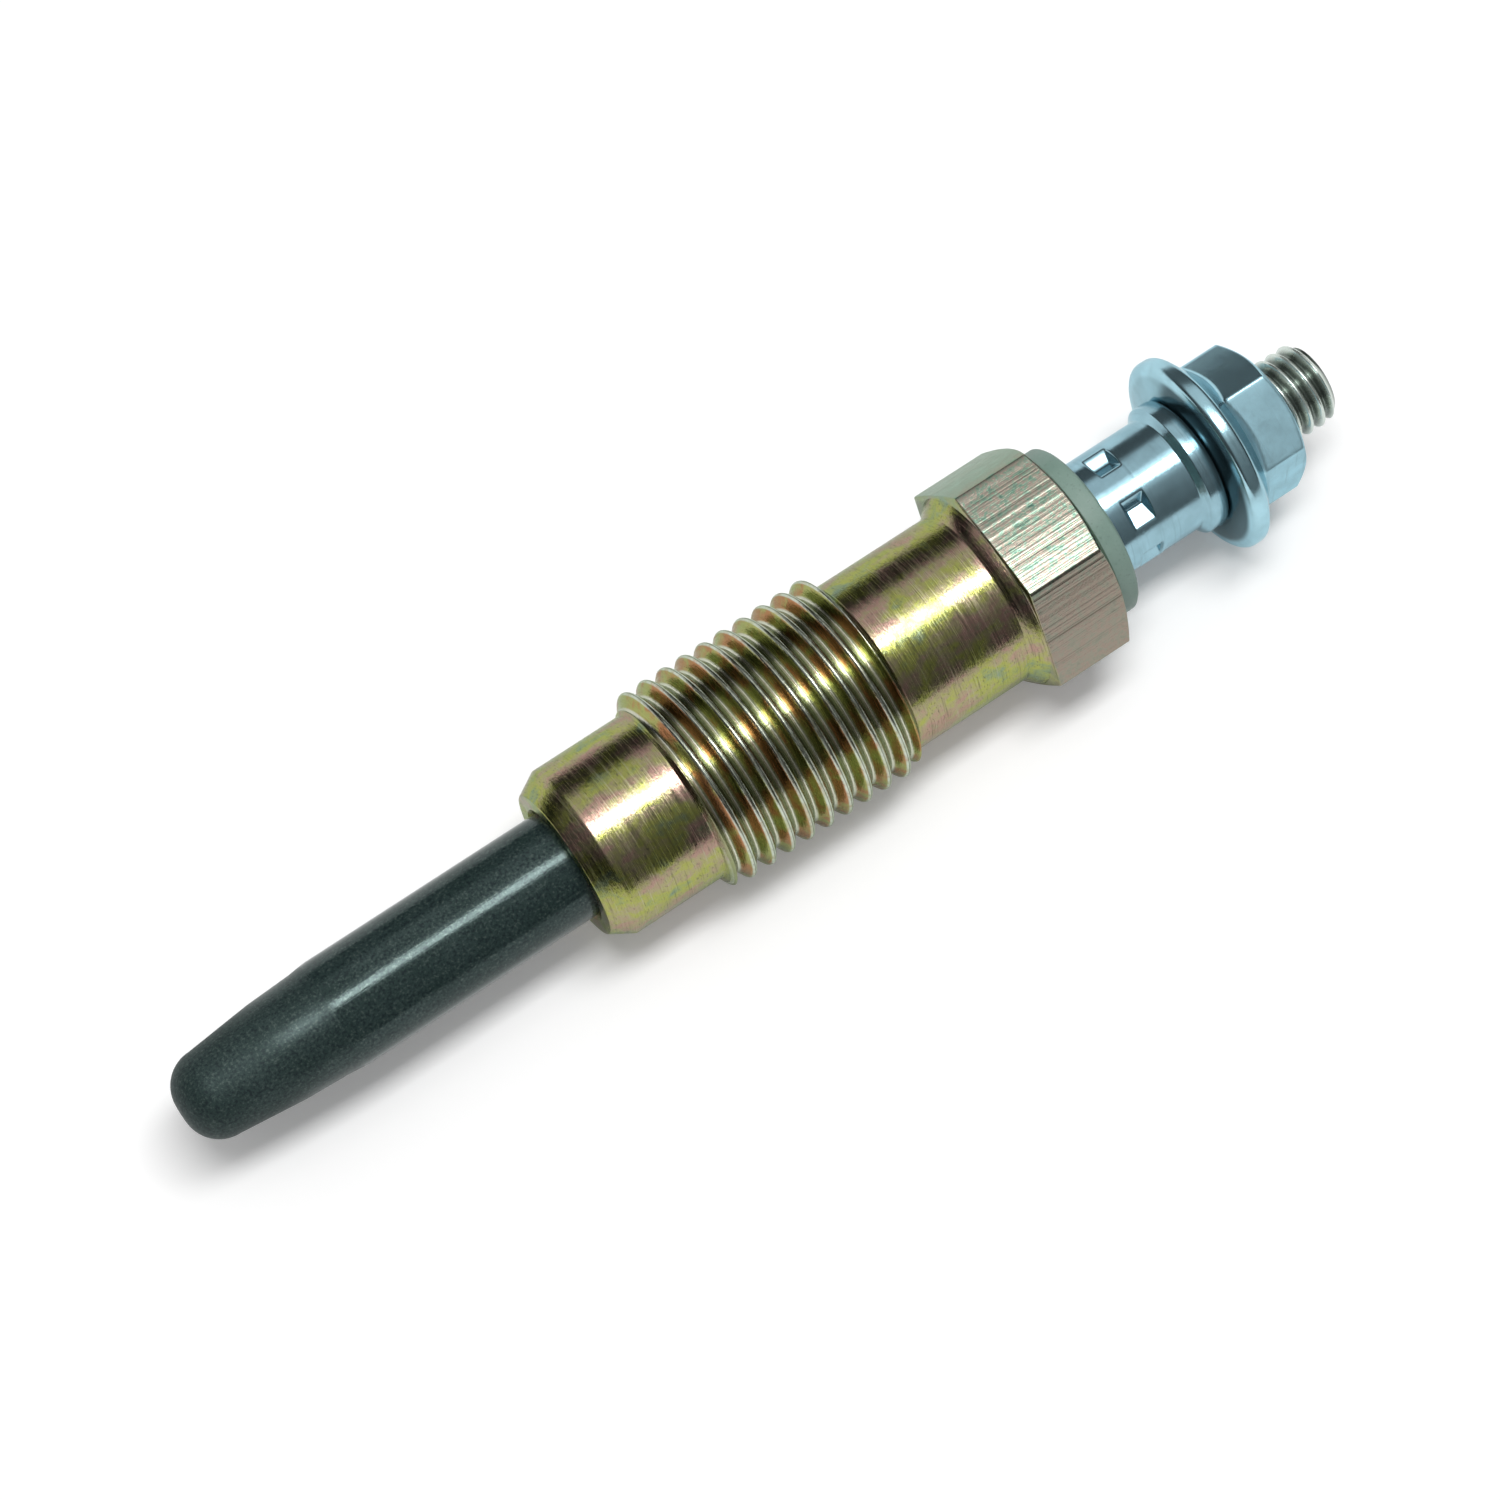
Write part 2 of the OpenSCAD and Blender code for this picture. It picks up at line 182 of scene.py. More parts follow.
# Nut. Its first corner is turned from +Y towards +Z.
NUT_AF = 8.0
NUT_TURN = 27
NUT_FACE_R = 3.75
NUT_CHAMFER_ANGLE = 30
NUT_CHAMFER_SOFT = 0.1
NUT_COUNTERSINK = 0.35
NUT_CORNER_ROUND = 0.2
NUT_CROWN = 0.05
BEARING_R = 4.1
BEARING_CONE_LEN = 0.3
FLANGE_RIM = 0.85
FLANGE_ANGLE = 35
FLANGE_FRONT_ROUND = 0.4
FLANGE_BACK_ROUND = 0.3
FLANGE_BACK_SOFT = 0.35
RIM_X = NUT_X + BEARING_CONE_LEN + FLANGE_RIM

# Roundings of small edges
EDGE = 0.1
SMALL_EDGE = 0.08
FINE_EDGE = 0.05

# Sides of the round pieces
TUBE_SIDES = 144
PIN_SIDES = 96
WASHER_SIDES = 144
SLEEVE_SIDES = 216

# Distances between rings where two stretches of a surface meet, and from a face or an edge
RING_GAP = 0.05
FACE_GAP = 0.03
SHORT_GAP = 0.02
EDGE_GAP = 0.3
# A skin that runs back through a bore starts and ends at a seam, so far inside the bore's mouth
SEAM_DEPTH = 0.4
SEAM_GAP = 0.1
# Radius of the ring next to a point on the axis
POLE_R = 0.2


# Shapes round the axis

def soft_min(a, b, k):
    """The smaller of two lengths, rounded over a band of width k where they cross."""
    h = max(k - abs(a - b), 0) / k
    return min(a, b) - h * h * k / 4


def soft_max(a, b, k):
    """The larger of two lengths, rounded in the same way."""
    return -soft_min(-a, -b, k)


def spread(start, end, count):
    return [start + (end - start) * i / count for i in range(count + 1)]


def even_angles(count):
    return [360 * i / count for i in range(count)]


def hexagon_angles(first_corner, half_steps=14, crowding=1.5):
    """Angles in degrees that crowd together at the six corners of a hexagon."""
    half = [30 * (i / half_steps) ** crowding for i in range(half_steps)]
    side = half + [30] + [60 - a for a in half[:0:-1]]
    return [first_corner + 60 * k + a for k in range(6) for a in side]


def hexagon_radius(angle, first_corner, across_flats, round_r, crown):
    """Distance from the axis to a hexagon with rounded corners and slightly domed flats."""
    off = abs((angle - first_corner + 30) % 60 - 30)
    flat = across_flats / 2
    centre = (flat - round_r) / math.cos(math.radians(30))
    touch = 30 - math.degrees(math.atan((flat - round_r) * math.tan(math.radians(30)) / flat))
    fall = crown * (math.tan(math.radians(30 - off)) / math.tan(math.radians(30))) ** 2
    if off >= touch:
        return flat / math.cos(math.radians(30 - off)) - fall
    a = math.radians(off)
    return centre * math.cos(a) + math.sqrt(round_r ** 2 - (centre * math.sin(a)) ** 2) - fall


def chamfer_length(across_flats, face_r, slope):
    """Length of the cone that cuts a hexagon's corners down to its round face."""
    return (across_flats / math.cos(math.radians(30)) / 2 - face_r) * slope


def thread_form(major_r, pitch, off):
    """Radius of a rolled 60 degree thread at a distance from its crest, with soft crest and root."""
    flank = (off - CREST_HALF * pitch) * math.tan(math.radians(FLANK_ANGLE))
    below_crest = soft_max(flank, 0, CREST_SOFT * pitch)
    return major_r - soft_min(below_crest, THREAD_DEPTH * pitch, ROOT_SOFT * pitch)


def rounded(corners, steps=4):
    """Points (station, radius) of an outline whose corners (station, radius, round) become arcs."""
    points = []
    for i, (x, r, round_r) in enumerate(corners):
        here = Vector((x, r))
        if round_r == 0 or i in (0, len(corners) - 1):
            points.append((x, r))
            continue
        back = (Vector(corners[i - 1][:2]) - here).normalized()
        on = (Vector(corners[i + 1][:2]) - here).normalized()
        half = back.angle(on) / 2
        centre = here + (back + on).normalized() * (round_r / math.sin(half))
        first = here + back * (round_r / math.tan(half)) - centre
        last = here + on * (round_r / math.tan(half)) - centre
        turn = first.angle_signed(last)
        for s in range(steps + 1):
            a = -turn * s / steps
            p = centre + Vector((first.x * math.cos(a) - first.y * math.sin(a),
                                 first.x * math.sin(a) + first.y * math.cos(a)))
            points.append((p.x, p.y))
    return points


class Skin:
    """A closed surface built from rings of points round the axis, one point for each angle."""

    def __init__(self, angles):
        self.angles = angles
        self.points = []
        self.faces = []
        self.first = None
        self.last = None

    def point(self, x, r, angle):
        a = math.radians(angle)
        self.points.append((x * MM, r * MM * math.cos(a), r * MM * math.sin(a)))
        return len(self.points) - 1

    def bridge(self, one, two):
        n = len(one)
        for i in range(n):
            j = (i + 1) % n
            self.faces.append((one[i], one[j], two[j], two[i]))

    def ring(self, x, radius):
        """Adds a ring at a station. The radius is a number, or a function of the angle."""
        at = radius if callable(radius) else (lambda angle: radius)
        ring = [self.point(x, at(angle), angle) for angle in self.angles]
        if self.last:
            self.bridge(self.last, ring)
        self.first = self.first or ring
        self.last = ring

    def rings(self, outline):
        for x, r in outline:
            self.ring(x, r)

    def pole(self, x):
        """Closes the surface at a point on the axis, at its start or at its end."""
        tip = self.point(x, 0, 0)
        n = len(self.angles)
        if self.last is None:
            self.first = self.last = [tip] * n
            return
        for i in range(n):
            self.faces.append((self.last[i], self.last[(i + 1) % n], tip))

    def thread(self, pitch, phase, start, end, radius_at, per_pitch=28):
        """Adds the rings of a right-hand thread with a crest at the station phase on the +Y side.
        radius_at takes the station and the distance from the nearest crest."""
        for x in spread(start, end, math.ceil((end - start) / pitch * per_pitch)):
            def radius(angle):
                off = (x - phase - pitch * angle / 360 + pitch / 2) % pitch - pitch / 2
                return radius_at(x, abs(off))
            self.ring(x, radius)

    def close(self):
        """Joins the last ring to the first."""
        self.bridge(self.last, self.first)

    def piece(self, name, node, material):
        """Makes the piece, on the object's body and in place of a CAD node."""
        mesh = bpy.data.meshes.new(name)
        faces = [tuple(dict.fromkeys(f)) for f in self.faces]
        mesh.from_pydata(self.points, [], [f for f in faces if len(f) > 2])
        mesh.validate()
        mesh.polygons.foreach_set("use_smooth", [True] * len(mesh.polygons))
        mesh.materials.append(material)
        obj = bpy.data.objects.new(name, mesh)
        bpy.context.scene.collection.objects.link(obj)
        obj.modifiers.new("normals", "WEIGHTED_NORMAL").keep_sharp = True
        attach(obj, "root")
        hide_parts(node)


# Finishes

class Nodes:
    """The node tree of a material or a world."""

    def __init__(self, owner):
        owner.use_nodes = True
        self.tree = owner.node_tree

    def fill(self, node, inputs):
        """Sets inputs of a node, each to a value or to another node's socket."""
        for key, value in inputs.items():
            if isinstance(value, bpy.types.NodeSocket):
                self.tree.links.new(value, node.inputs[key])
            else:
                node.inputs[key].default_value = value

    def add(self, kind, inputs, **settings):
        node = self.tree.nodes.new(kind)
        for key, value in settings.items():
            setattr(node, key, value)
        self.fill(node, inputs)
        return node

    def calc(self, operation, a, b=0.0):
        return self.add("ShaderNodeMath", {0: a, 1: b}, operation=operation).outputs[0]

    def remap(self, value, low, high, to_low=0.0, to_high=1.0, kind="SMOOTHSTEP"):
        return self.add(
            "ShaderNodeMapRange",
            {"Value": value, "From Min": low, "From Max": high, "To Min": to_low, "To Max": to_high},
            interpolation_type=kind,
        ).outputs["Result"]

    def ramp(self, value, stops, kind="LINEAR"):
        """Colours that follow a value through stops of (position, colour)."""
        node = self.add("ShaderNodeValToRGB", {"Fac": value})
        node.color_ramp.interpolation = kind
        points = node.color_ramp.elements
        while len(points) < len(stops):
            points.new(0.5)
        for point, (position, colour) in zip(points, stops):
            point.position = position
            point.color = (*colour, 1)
        return node.outputs["Color"]


class Finish(Nodes):
    """A procedural material. Its textures lie in the object's own space, in millimetres."""

    def __init__(self, name):
        self.material = bpy.data.materials.new(name)
        super().__init__(self.material)
        place = self.add("ShaderNodeTexCoord", {}).outputs["Object"]
        self.place = self.stretched(place, 1 / MM, 1 / MM, 1 / MM)
        self.x, self.y, self.z = self.add("ShaderNodeSeparateXYZ", {"Vector": self.place}).outputs

    def shade(self, inputs):
        """Sets inputs of the surface's shader."""
        self.fill(self.tree.nodes["Principled BSDF"], inputs)

    def stretched(self, vector, x, y, z):
        return self.add("ShaderNodeVectorMath", {0: vector, 1: (x, y, z)}, operation="MULTIPLY").outputs[0]

    def noise(self, x, y, z, detail=2.0, rough=0.5):
        """Noise with that many features in a millimetre along each axis."""
        vector = self.stretched(self.place, x, y, z)
        return self.add(
            "ShaderNodeTexNoise", {"Vector": vector, "Scale": 1.0, "Detail": detail, "Roughness": rough}
        ).outputs["Fac"]

    def mix(self, share, a, b):
        """Two colours mixed. Each is a socket or three numbers."""
        a, b = (c if isinstance(c, bpy.types.NodeSocket) else (*c, 1) for c in (a, b))
        return self.add("ShaderNodeMix", {"Factor": share, 6: a, 7: b}, data_type="RGBA").outputs[2]

    def blend(self, share, a, b):
        """Two numbers mixed."""
        return self.add("ShaderNodeMix", {"Factor": share, "A": a, "B": b}).outputs[0]

    def weighted(self, a, b, share):
        """Two noises added, with the first one's share."""
        return self.calc("ADD", self.calc("MULTIPLY", a, share), self.calc("MULTIPLY", b, 1 - share))

    def bump(self, *layers):
        """Bumps of (height socket, depth in millimetres), laid over one another."""
        normal = None
        for height, depth in layers:
            inputs = {"Height": height, "Strength": 1.0, "Distance": depth * MM}
            if normal:
                inputs["Normal"] = normal
            normal = self.add("ShaderNodeBump", inputs).outputs["Normal"]
        self.shade({"Normal": normal})

    def radius(self):
        y, z = (self.calc("MULTIPLY", axis, axis) for axis in (self.y, self.z))
        return self.calc("SQRT", self.calc("ADD", y, z))

    def crest_offset(self, pitch, phase):
        """Distance from the nearest crest of a thread, in pitches, from -0.5 to 0.5."""
        turn = self.calc("DIVIDE", self.calc("ARCTAN2", self.z, self.y), 2 * math.pi)
        along = self.calc("DIVIDE", self.calc("SUBTRACT", self.x, phase), pitch)
        share = self.calc("FRACT", self.calc("ADD", self.calc("SUBTRACT", along, turn), 0.5))
        return self.calc("SUBTRACT", share, 0.5)


def turned_tint(f, lines, flecks):
    """Colour of the shell's turned faces: tinted patches with pale and dark lines and dark flecks."""
    pale_line, dark_line, fleck = (0.5, 0.49, 0.36), (0.13, 0.12, 0.07), (0.09, 0.085, 0.06)
    patches = f.noise(0.3, 0.45, 0.45, 5, 0.65)
    colour = f.ramp(patches, [
        (0.32, (0.22, 0.29, 0.2)),
        (0.43, (0.37, 0.39, 0.1)),
        (0.51, (0.37, 0.33, 0.19)),
        (0.59, (0.42, 0.26, 0.22)),
        (0.69, (0.3, 0.33, 0.19)),
    ])
    colour = f.mix(f.remap(lines, 0.56, 0.68, 0, 0.5), colour, pale_line)
    colour = f.mix(f.remap(lines, 0.46, 0.34, 0, 0.6), colour, dark_line)
    return f.mix(f.remap(flecks, 0.58, 0.68, 0, 0.6), colour, fleck)


def thread_tint(f, flecks):
    """Colour of the shell's thread, and where its crests are bare: worn crests with a rolling seam,
    rusty front flanks and bright roots."""
    olive, rust, rear_flank = (0.36, 0.37, 0.13), (0.41, 0.19, 0.09), (0.3, 0.33, 0.18)
    root, bare_crest = (0.62, 0.62, 0.52), (0.58, 0.63, 0.54)
    seam, fleck = (0.1, 0.11, 0.08), (0.1, 0.09, 0.06)
    offset = f.crest_offset(THREAD_PITCH, THREAD_PHASE)
    from_crest = f.calc("ABSOLUTE", offset)
    stain = f.remap(f.noise(0.8, 0.5, 0.5, 4, 0.6), 0.4, 0.58)
    front = f.remap(offset, 0.02, -0.06)
    colour = f.mix(front, rear_flank, f.mix(stain, olive, rust))
    colour = f.mix(f.remap(from_crest, 0.37, 0.44), colour, root)
    worn = f.remap(f.noise(2, 2, 2, 3, 0.65), 0.34, 0.6, 0.5, 1)
    crest = f.calc("MULTIPLY", f.remap(from_crest, 0.13, 0.09), worn)
    colour = f.mix(crest, colour, bare_crest)
    colour = f.mix(f.remap(from_crest, 0.03, 0.01, 0, 0.75), colour, seam)
    colour = f.mix(f.remap(flecks, 0.58, 0.7, 0, 0.45), colour, fleck)
    return colour, crest


def drawn_tint(f, streaks, mottling):
    """Colour of the hexagon's drawn flats: rose and green mottling and pale and dark streaks along the
    bar, with a painted reflection tint that makes them rosier in front and greener behind."""
    rose, green, pale, dark = (0.29, 0.22, 0.18), (0.27, 0.41, 0.36), (0.5, 0.49, 0.42), (0.12, 0.1, 0.08)
    colour = f.ramp(mottling, [
        (0.34, (0.12, 0.22, 0.17)),
        (0.45, (0.24, 0.33, 0.255)),
        (0.55, (0.35, 0.285, 0.24)),
        (0.65, (0.21, 0.31, 0.235)),
    ])
    # Painted reflection tint, fixed by side: rosier towards -Y and greener towards +Y
    colour = f.mix(f.remap(f.y, -2.6, -4.4, 0, 0.6), colour, rose)
    colour = f.mix(f.remap(f.y, 3.2, 4.6, 0, 0.6), colour, green)
    colour = f.mix(f.remap(streaks, 0.58, 0.68, 0, 0.3), colour, pale)
    return f.mix(f.remap(streaks, 0.43, 0.35, 0, 0.75), colour, dark)


def shell_plating():
    """Turned steel with yellow passivated zinc: olive to gold, with rose and green tints."""
    f = Finish("shell_plating")
    lines = f.noise(11, 0.35, 0.35, 5, 0.75)
    flecks = f.noise(10, 3.5, 3.5, 3, 0.65)
    streaks = f.noise(0.004, 2.6, 2.6, 4, 0.7)
    mottling = f.noise(1.8, 2.2, 2.2, 6, 0.8)
    on_thread = f.remap(f.calc("ABSOLUTE", f.x), THREAD_X, THREAD_X - 0.4)
    on_hex = f.remap(f.x, HEX_X - 0.1, HEX_X + 0.1)
    thread, crest = thread_tint(f, flecks)
    colour = f.mix(on_thread, turned_tint(f, lines, flecks), thread)
    turned_rough = f.remap(lines, 0.36, 0.64, 0.1, 0.3)
    crest_rough = f.calc("MULTIPLY", on_thread, f.calc("MULTIPLY", crest, 0.06))
    drawn_rough = f.remap(mottling, 0.35, 0.65, 0.1, 0.24)
    f.shade({
        "Metallic": 1.0,
        "Specular Tint": (0.6, 0.66, 0.58, 1),
        "Base Color": f.mix(on_hex, colour, drawn_tint(f, streaks, mottling)),
        "Roughness": f.blend(on_hex, f.calc("ADD", turned_rough, crest_rough), drawn_rough),
    })
    turned = f.calc("SUBTRACT", 1.0, on_hex)
    f.bump(
        (f.calc("MULTIPLY", lines, turned), 0.01),
        (f.calc("MULTIPLY", flecks, turned), 0.014),
        (f.calc("MULTIPLY", streaks, on_hex), 0.035),
        (f.calc("MULTIPLY", mottling, on_hex), 0.013),
    )
    return f.material


def tube_alloy():
    """Dark oxidised nickel alloy, satin, with fine scratches and specks. It is rougher where it is
    swaged, and roughest at the burnt tip."""
    dark_speck, pale_speck = (0.012, 0.02, 0.024), (0.095, 0.125, 0.115)
    swaged_rough, burnt_rough = 0.34, 0.55
    f = Finish("tube_alloy")
    cloud = f.noise(0.35, 0.5, 0.5, 3)
    specks = f.noise(6, 6, 6, 4, 0.7)
    scratches = f.noise(0.5, 7, 7, 3, 0.6)
    colour = f.ramp(cloud, [(0.3, (0.022, 0.042, 0.039)), (0.7, (0.035, 0.058, 0.056))])
    colour = f.mix(f.remap(specks, 0.5, 0.38, 0, 0.8), colour, dark_speck)
    colour = f.mix(f.remap(specks, 0.53, 0.66, 0, 0.6), colour, pale_speck)
    straight_rough = f.remap(f.weighted(scratches, cloud, 0.5), 0.3, 0.7, 0.03, 0.09)
    swaged = f.remap(f.x, FULL_X - 0.1, FULL_X - 0.6)
    burnt_x = FULL_X - LAND_LEN
    burnt = f.remap(f.x, burnt_x, burnt_x - 3)
    f.shade({
        "Metallic": 0.3,
        "Specular IOR Level": 0.38,
        "Specular Tint": (0.66, 0.72, 0.7, 1),
        "Base Color": colour,
        "Roughness": f.blend(burnt, f.blend(swaged, straight_rough, swaged_rough), burnt_rough),
    })
    f.bump((scratches, 0.005), (specks, 0.006))
    return f.material


class Zinc(Finish):
    """Bluish zinc plating with fine turning lines and a light haze."""

    def __init__(self, name, colour, lines_per_mm):
        super().__init__(name)
        self.haze = self.noise(0.8, 0.8, 0.8, 3)
        self.grain = self.noise(11, 11, 11, 3, 0.6)
        lines = self.noise(lines_per_mm, 0.2, 0.2, 3, 0.6)
        shade, dark = (tuple(share * c for c in colour) for share in (0.84, 0.5))
        tint = self.ramp(self.haze, [(0.35, colour), (0.65, shade)])
        self.tint = self.mix(self.remap(lines, 0.45, 0.28, 0, 0.35), tint, dark)
        self.rough = self.remap(self.weighted(self.haze, self.grain, 0.6), 0.3, 0.7, 0.1, 0.22)
        self.shade({"Metallic": 0.92, "Specular Tint": (0.7, 0.8, 0.83, 1)})
        self.bump((lines, 0.003), (self.grain, 0.003))


def sleeve_zinc():
    """Bright zinc with close turning lines."""
    f = Zinc("sleeve_zinc", (0.33, 0.53, 0.61), 9)
    f.shade({"Base Color": f.tint, "Roughness": f.rough})
    return f.material


def nut_zinc():
    """Zinc that is matt on the hexagon, apart from one pair of flats burnished by a wrench, with
    painted shade darkening the bearing side next to the collar, less so towards +Y."""
    colour = (0.41, 0.66, 0.75)
    painted_shade_colour = tuple(0.12 * c for c in colour)
    burnished_rough = 0.16
    f = Zinc("nut_zinc", colour, 3)
    radius = f.radius()
    on_hex = f.calc(
        "MULTIPLY",
        f.remap(radius, NUT_AF * 0.59, NUT_AF * 0.57),
        f.remap(f.x, RIM_X - 0.1, RIM_X),
    )
    across = math.radians(NUT_TURN + 30)
    y, z = f.calc("MULTIPLY", f.y, math.cos(across)), f.calc("MULTIPLY", f.z, math.sin(across))
    gripped = f.remap(f.calc("ABSOLUTE", f.calc("ADD", y, z)), NUT_AF / 2 - 0.14, NUT_AF / 2 - 0.08)
    flat_rough = f.blend(gripped, f.remap(f.grain, 0.3, 0.7, 0.4, 0.55), burnished_rough)
    # Painted shade: a dark ring on the bearing face next to the collar, weaker towards +Y
    painted_shade = f.calc(
        "MULTIPLY",
        f.remap(radius, BEARING_R + 1.35, BEARING_R + 0.95, 0, 0.95),
        f.remap(f.x, NUT_X + 1.2 * BEARING_CONE_LEN, NUT_X + BEARING_CONE_LEN),
    )
    painted_shade = f.calc("MULTIPLY", painted_shade, f.remap(f.calc("ADD", f.y, f.haze), 4.1, 2.9, 0.3, 1))
    f.shade({
        "Base Color": f.mix(painted_shade, f.tint, painted_shade_colour),
        "Roughness": f.blend(on_hex, f.rough, flat_rough),
    })
    return f.material


def pin_metal():
    """Nickel plated steel of the stud, pale on the worn crests, with painted shade darkening the roots."""
    f = Finish("pin_metal")
    haze = f.noise(1.2, 1.2, 1.2, 3)
    # Darker towards the roots: painted shade; paler on the crests, where they are worn
    height = f.remap(f.radius(), STUD_R - 0.45, STUD_R)
    crest_wear_and_root_shade = f.calc("ADD", height, f.calc("MULTIPLY", f.calc("SUBTRACT", haze, 0.5), 0.4))
    f.shade({
        "Metallic": 0.85,
        "Base Color": f.ramp(crest_wear_and_root_shade, [
            (0.1, (0.15, 0.18, 0.16)),
            (0.5, (0.42, 0.48, 0.43)),
            (0.9, (0.64, 0.71, 0.66)),
        ]),
        "Roughness": f.remap(haze, 0.3, 0.7, 0.18, 0.32),
    })
    f.bump((f.noise(8, 8, 8, 2), 0.004))
    return f.material


def washer_plastic():
    """Grey-green moulded plastic with fine pale and dark specks."""
    pale_speck, dark_speck = (0.28, 0.37, 0.33), (0.1, 0.16, 0.14)
    f = Finish("washer_plastic")
    specks = f.noise(6, 6, 6, 3, 0.6)
    cloud = f.noise(0.6, 0.6, 0.6, 2)
    colour = f.ramp(cloud, [(0.3, (0.185, 0.285, 0.24)), (0.7, (0.225, 0.325, 0.28))])
    colour = f.mix(f.remap(specks, 0.58, 0.72, 0, 0.4), colour, pale_speck)
    colour = f.mix(f.remap(specks, 0.42, 0.3, 0, 0.4), colour, dark_speck)
    f.shade({"IOR": 1.5, "Base Color": colour, "Roughness": f.remap(specks, 0.3, 0.7, 0.45, 0.65)})
    f.bump((specks, 0.012))
    return f.material


def drawn_wire(name, colour):
    """Resistance wire, drawn and slightly oxidised."""
    oxidised = tuple(0.6 * c for c in colour)
    f = Finish(name)
    stain = f.noise(2, 2, 2, 3)
    f.shade({
        "Metallic": 1.0,
        "Base Color": f.ramp(stain, [(0.3, oxidised), (0.7, colour)]),
        "Roughness": f.remap(stain, 0.3, 0.7, 0.3, 0.5),
    })
    return f.material


def packed_powder():
    """Compacted magnesium oxide: off-white and grainy."""
    f = Finish("powder")
    grain = f.noise(8, 8, 8, 4, 0.65)
    f.shade({
        "IOR": 1.45,
        "Base Color": f.ramp(grain, [(0.3, (0.62, 0.59, 0.52)), (0.7, (0.84, 0.82, 0.77))]),
        "Roughness": f.remap(grain, 0.3, 0.7, 0.8, 0.95),
    })
    f.bump((grain, 0.03))
    return f.material


def seal_rubber():
    """Moulded black rubber with a dry bloom."""
    f = Finish("seal_rubber")
    bloom = f.noise(3, 3, 3, 4, 0.6)
    f.shade({
        "IOR": 1.5,
        "Base Color": f.ramp(bloom, [(0.35, (0.018, 0.018, 0.019)), (0.7, (0.05, 0.048, 0.046))]),
        "Roughness": f.remap(bloom, 0.3, 0.7, 0.55, 0.75),
    })
    f.bump((bloom, 0.02))
    return f.material


# Pieces

def threaded_shell():
    """Shell from its nose to its rear face outside, and back through its bores."""
    seam_x = NOSE_X + SEAM_DEPTH
    skin = Skin(hexagon_angles(0))
    skin.rings(rounded([
        (seam_x, TUBE_BORE_R, 0),
        (NOSE_X + NOSE_LIP, TUBE_BORE_R, 0),
        (NOSE_X, TUBE_BORE_R + NOSE_LIP, NOSE_LIP_ROUND),
        (NOSE_X, NOSE_FACE_R, EDGE),
        (NOSE_X + NOSE_CONE_LEN, NOSE_R, NOSE_CONE_ROUND),
        (-THREAD_X - RING_GAP, NOSE_R, 0),
    ]))

    def thread_radius(x, off):
        core_r = NOSE_R if x < 0 else SHANK_R
        room = (THREAD_X - abs(x)) / THREAD_RUNOUT
        envelope = core_r + (THREAD_R - core_r) * min(max(room, 0), 1)
        return max(core_r, min(thread_form(THREAD_R, THREAD_PITCH, off), envelope))

    skin.thread(THREAD_PITCH, THREAD_PHASE, -THREAD_X, THREAD_X, thread_radius)
    skin.rings(rounded([
        (THREAD_X + RING_GAP, SHANK_R, 0),
        (FLARE_X, SHANK_R, FLARE_ROUND),
        (HEX_X - SHORT_GAP, FLARE_R, 0),
        (HEX_X, FLARE_R, 0),
    ]))

    def outside(angle):
        return hexagon_radius(angle, 0, HEX_AF, HEX_CORNER_ROUND, HEX_CROWN)

    # The hexagon's front edge is a quarter round
    skin.ring(HEX_X, lambda angle: outside(angle) - HEX_EDGE)
    for share in (0.3, 0.7, 1.0):
        turn = share * math.pi / 2
        drop = HEX_EDGE * (1 - math.sin(turn))
        skin.ring(HEX_X + HEX_EDGE * (1 - math.cos(turn)), lambda angle: outside(angle) - drop)
    slope = math.tan(math.radians(HEX_CHAMFER_ANGLE))
    chamfer_x = REAR_X - chamfer_length(HEX_AF, HEX_FACE_R, slope) - 2 * RING_GAP
    stations = spread(HEX_X + EDGE_GAP, chamfer_x - RING_GAP, 6)
    stations += spread(chamfer_x, REAR_X - FACE_GAP, 16)
    for x in stations:
        cone_r = HEX_FACE_R + (REAR_X - x) / slope
        skin.ring(x, lambda angle: soft_min(outside(angle), cone_r, HEX_CHAMFER_SOFT))
    skin.rings(rounded([
        (REAR_X, HEX_FACE_R - SHORT_GAP, 0),
        (REAR_X, COUNTERBORE_R, SMALL_EDGE),
        (SEAL_X, COUNTERBORE_R, FINE_EDGE),
        (SEAL_X, ROD_BORE_R, FINE_EDGE),
        (TUBE_END_X, ROD_BORE_R, FINE_EDGE),
        (TUBE_END_X, TUBE_BORE_R, FINE_EDGE),
        (seam_x + SEAM_GAP, TUBE_BORE_R, 0),
    ], steps=2))
    skin.close()
    skin.piece("threaded_shell", "plug_shell", shell_plating())


def sheath_tube():
    """Closed tube with a domed tip, a cone, a land and a swaged step, and its cavity."""
    cavity_x = TIP_X + TIP_WALL
    cone = (TAPER_R - TIP_R) / TAPER_LEN
    skin = Skin(even_angles(TUBE_SIDES))
    skin.pole(TIP_X)
    for degrees in spread(0, 90, 18):
        turn = math.radians(degrees)
        skin.ring(TAPER_X - TIP_ROUND * math.cos(turn), TIP_R - TIP_ROUND * (1 - math.sin(turn)))
    skin.rings(rounded([
        (TAPER_X + RING_GAP, TIP_R + cone * RING_GAP, 0),
        (LAND_X, TAPER_R, TAPER_ROUND),
        (STEP_X, LAND_R, STEP_ROUND),
        (FULL_X, TUBE_R, STEP_ROUND),
        (TUBE_END_X, TUBE_R, EDGE),
        (TUBE_END_X, TUBE_R - TUBE_WALL, EDGE),
        (FULL_X, TUBE_R - TUBE_WALL, 0),
        (STEP_X, LAND_R - TUBE_WALL, 0),
        (LAND_X, TAPER_R - TUBE_WALL, 0),
        (TAPER_X, TIP_R - TUBE_WALL, 0),
        (cavity_x, TIP_R - TUBE_WALL, CAVITY_ROUND),
        (cavity_x, POLE_R, 0),
    ], steps=6))
    skin.pole(cavity_x)
    skin.piece("sheath_tube", "glow_tube", tube_alloy())


